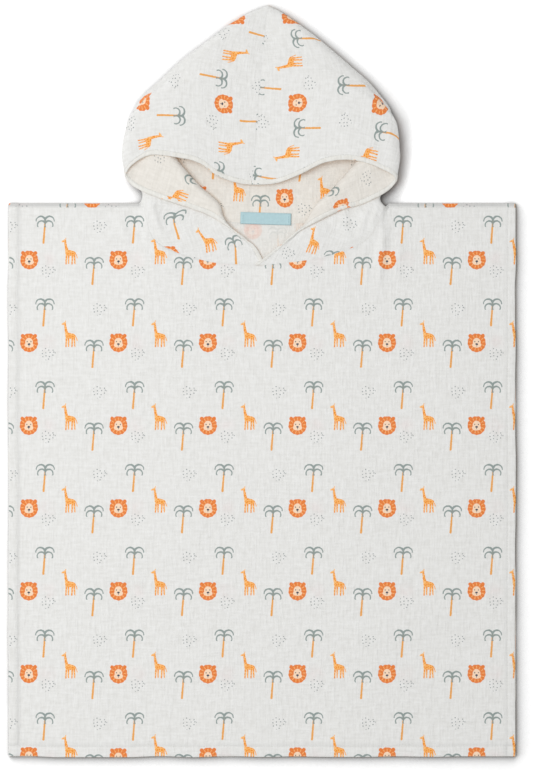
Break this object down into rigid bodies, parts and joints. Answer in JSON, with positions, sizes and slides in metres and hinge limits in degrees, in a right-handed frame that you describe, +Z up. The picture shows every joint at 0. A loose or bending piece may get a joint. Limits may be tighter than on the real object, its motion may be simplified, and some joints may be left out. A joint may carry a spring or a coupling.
{
  "type": "hooded bath poncho",
  "caption": "Child's hooded bath poncho of printed cotton double gauze, laid flat on its back with the hood open upwards.",
  "frame": {"origin": "on the surface that the poncho lies on, under the middle of its outline", "axes": "+X to the viewer's right across the body, +Y from the bottom hem to the hood's peak, +Z up from the surface"},
  "size_m": [0.6, 0.8896, 0.02],
  "materials": {
    "printed_gauze": "crinkled double gauze, matt, small animal and palm print",
    "lining_gauze": "crinkled double gauze, matt, the same print on its inner side",
    "woven_label": "plain woven ribbon, bare"
  },
  "bodies": {
    "root": {"body_back": "printed_gauze", "body_front": "printed_gauze", "hood_left": "printed_gauze", "hood_right": "printed_gauze", "hood_lining_left": "lining_gauze", "hood_lining_right": "lining_gauze", "neck_label": "woven_label"}
  },
  "joints": []
}
